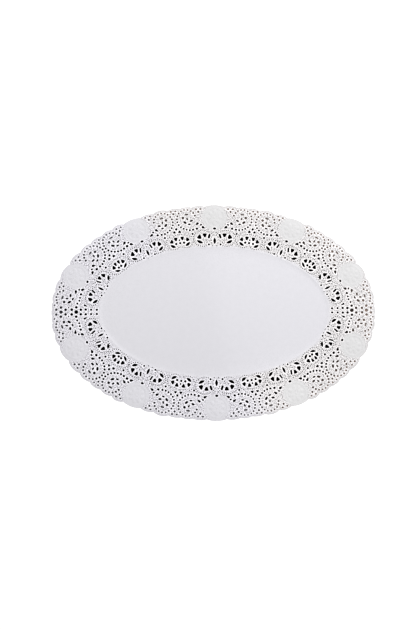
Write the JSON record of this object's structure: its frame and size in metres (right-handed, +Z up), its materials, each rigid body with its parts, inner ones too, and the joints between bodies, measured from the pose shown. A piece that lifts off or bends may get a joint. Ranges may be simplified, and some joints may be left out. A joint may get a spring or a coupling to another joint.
{
  "type": "paper lace doily",
  "caption": "Flat oval doily of embossed, die-cut paper lace, with a scalloped edge, a band of fans, round eyes and plain medallions round a plain oval middle.",
  "frame": {"origin": "centre of the sheet, on the surface that it lies on", "axes": "+X along the oval's long way, +Z up out of the embossed face"},
  "size_m": [0.3572, 0.2392, 0.0015],
  "materials": {
    "paper": "matte embossed white paper"
  },
  "bodies": {
    "root": {"doily": "paper"}
  },
  "joints": []
}
